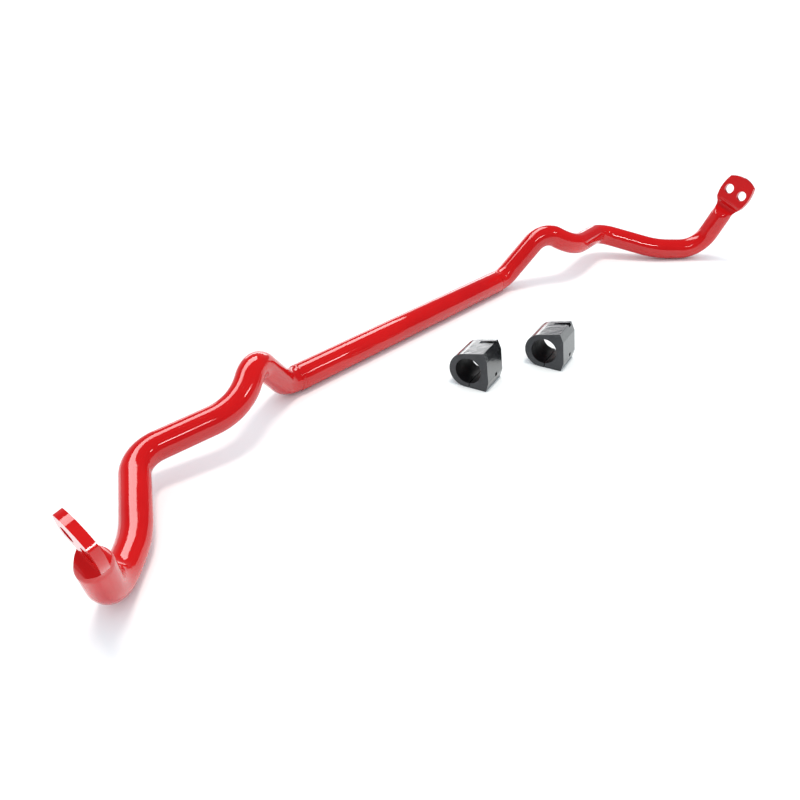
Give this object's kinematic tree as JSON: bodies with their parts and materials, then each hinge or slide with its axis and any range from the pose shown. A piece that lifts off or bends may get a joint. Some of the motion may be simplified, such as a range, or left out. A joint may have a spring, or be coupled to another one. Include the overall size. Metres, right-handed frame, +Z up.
{
  "type": "anti-roll bar",
  "caption": "Welded front sway bar with a straight centre tube, two bent arms ending in two-hole forged eyes, and two loose split D bushings.",
  "frame": {"origin": "on the axis of the centre tube, halfway between its ends", "axes": "+X across the vehicle along the tube, -Y towards the side the arms reach to, +Z up from the floor the bar rests on"},
  "size_m": [0.9734, 0.203, 0.1169],
  "materials": {
    "red_coating": "gloss red powder coat on steel",
    "moulded_black": "black moulded elastomer, glossy sides and matt cut ends"
  },
  "bodies": {
    "tube": {"centre_tube": "red_coating", "left_weld": "red_coating", "right_weld": "red_coating"},
    "left_lever": {"left_arm": "red_coating"},
    "right_lever": {"right_arm": "red_coating"},
    "left_block": {"left_bushing": "moulded_black"},
    "right_block": {"right_bushing": "moulded_black"}
  },
  "joints": [
    {"name": "right_twist", "type": "hinge", "parent": "tube", "child": "right_lever", "pos_m": [0.16623, 0, 0], "axis": [1, 0, 0], "range_deg": [-8, 8], "stiffness_Nm_per_rad": 6000},
    {"name": "left_twist", "type": "hinge", "parent": "tube", "child": "left_lever", "pos_m": [-0.16623, 0, 0], "axis": [1, 0, 0], "range_deg": [-8, 8], "stiffness_Nm_per_rad": 6000},
    {"name": "left_bushing_lift", "type": "slide", "parent": "tube", "child": "left_block", "axis": [0, 0, 1], "range_m": [0, 0.12]},
    {"name": "right_bushing_lift", "type": "slide", "parent": "tube", "child": "right_block", "axis": [0, 0, 1], "range_m": [0, 0.12]}
  ],
  "couplings": [
    {"joint": "left_twist", "follows": "right_twist", "ratio": -1}
  ]
}
